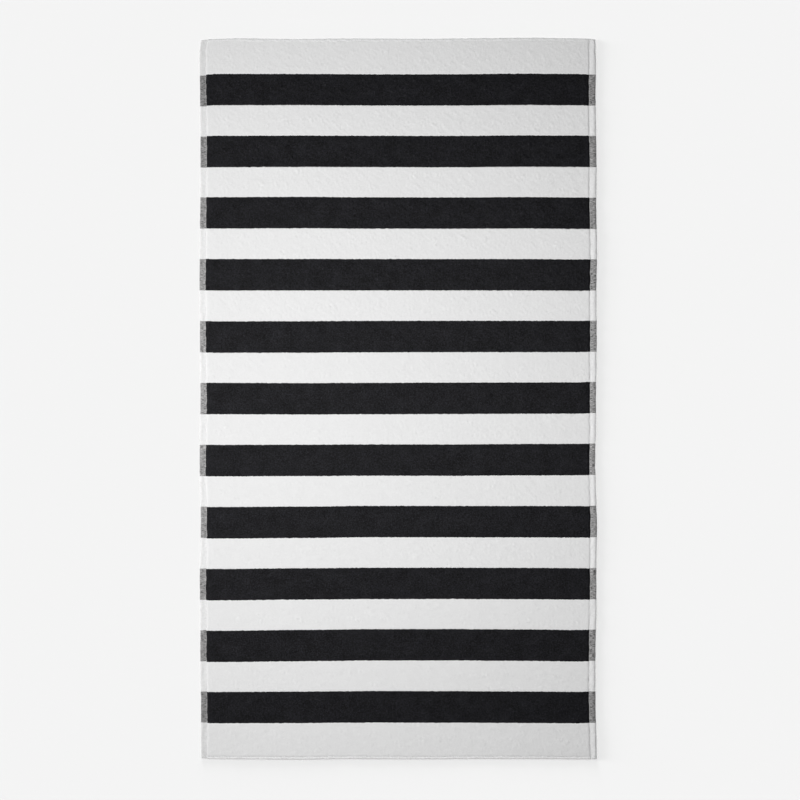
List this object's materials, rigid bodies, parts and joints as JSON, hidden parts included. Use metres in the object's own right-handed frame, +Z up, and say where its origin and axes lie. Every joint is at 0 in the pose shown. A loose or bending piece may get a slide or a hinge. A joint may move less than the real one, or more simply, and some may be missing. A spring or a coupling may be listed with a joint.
{
  "type": "beach towel",
  "caption": "Flat rectangular cotton beach towel with cross stripes in black and white, flat-woven side hems and narrow sewn ends.",
  "frame": {"origin": "middle of the towel's box, on the surface that it lies on", "axes": "+X across the width, +Y along the length towards the top end, +Z up out of the face"},
  "size_m": [0.9926, 1.8068, 0.0035],
  "materials": {
    "cotton_terry": "matt"
  },
  "bodies": {
    "root": {"towel": "cotton_terry"}
  },
  "joints": []
}
